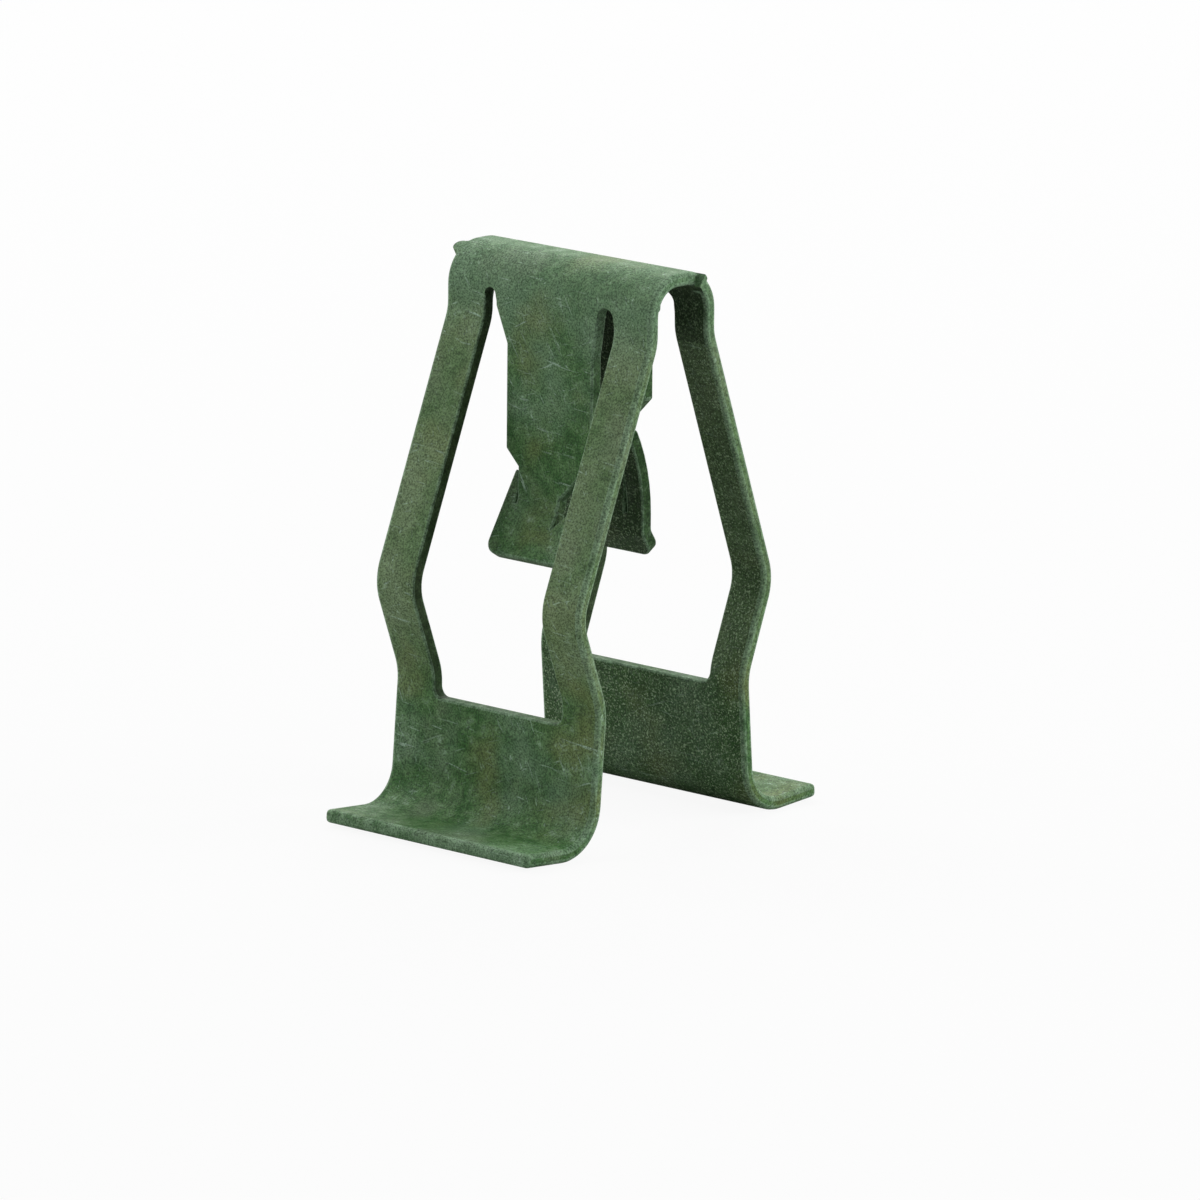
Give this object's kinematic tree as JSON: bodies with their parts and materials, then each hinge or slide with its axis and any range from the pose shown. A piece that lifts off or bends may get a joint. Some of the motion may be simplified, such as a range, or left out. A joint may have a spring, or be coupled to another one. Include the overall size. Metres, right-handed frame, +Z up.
{
  "type": "trim clip",
  "caption": "Folded spring-steel trim clip with spread legs, turned-out feet and lanced tongues whose teeth grip a panel rib.",
  "frame": {"origin": "middle of the clip's box, on the floor under its two feet", "axes": "+Z up from the feet to the bridge, +X along the fold lines, -Y towards the leg with the flared front blade"},
  "size_m": [0.0106, 0.0156, 0.0206],
  "materials": {
    "green_coat": "satin"
  },
  "bodies": {
    "root": {"trim_clip": "green_coat"}
  },
  "joints": []
}
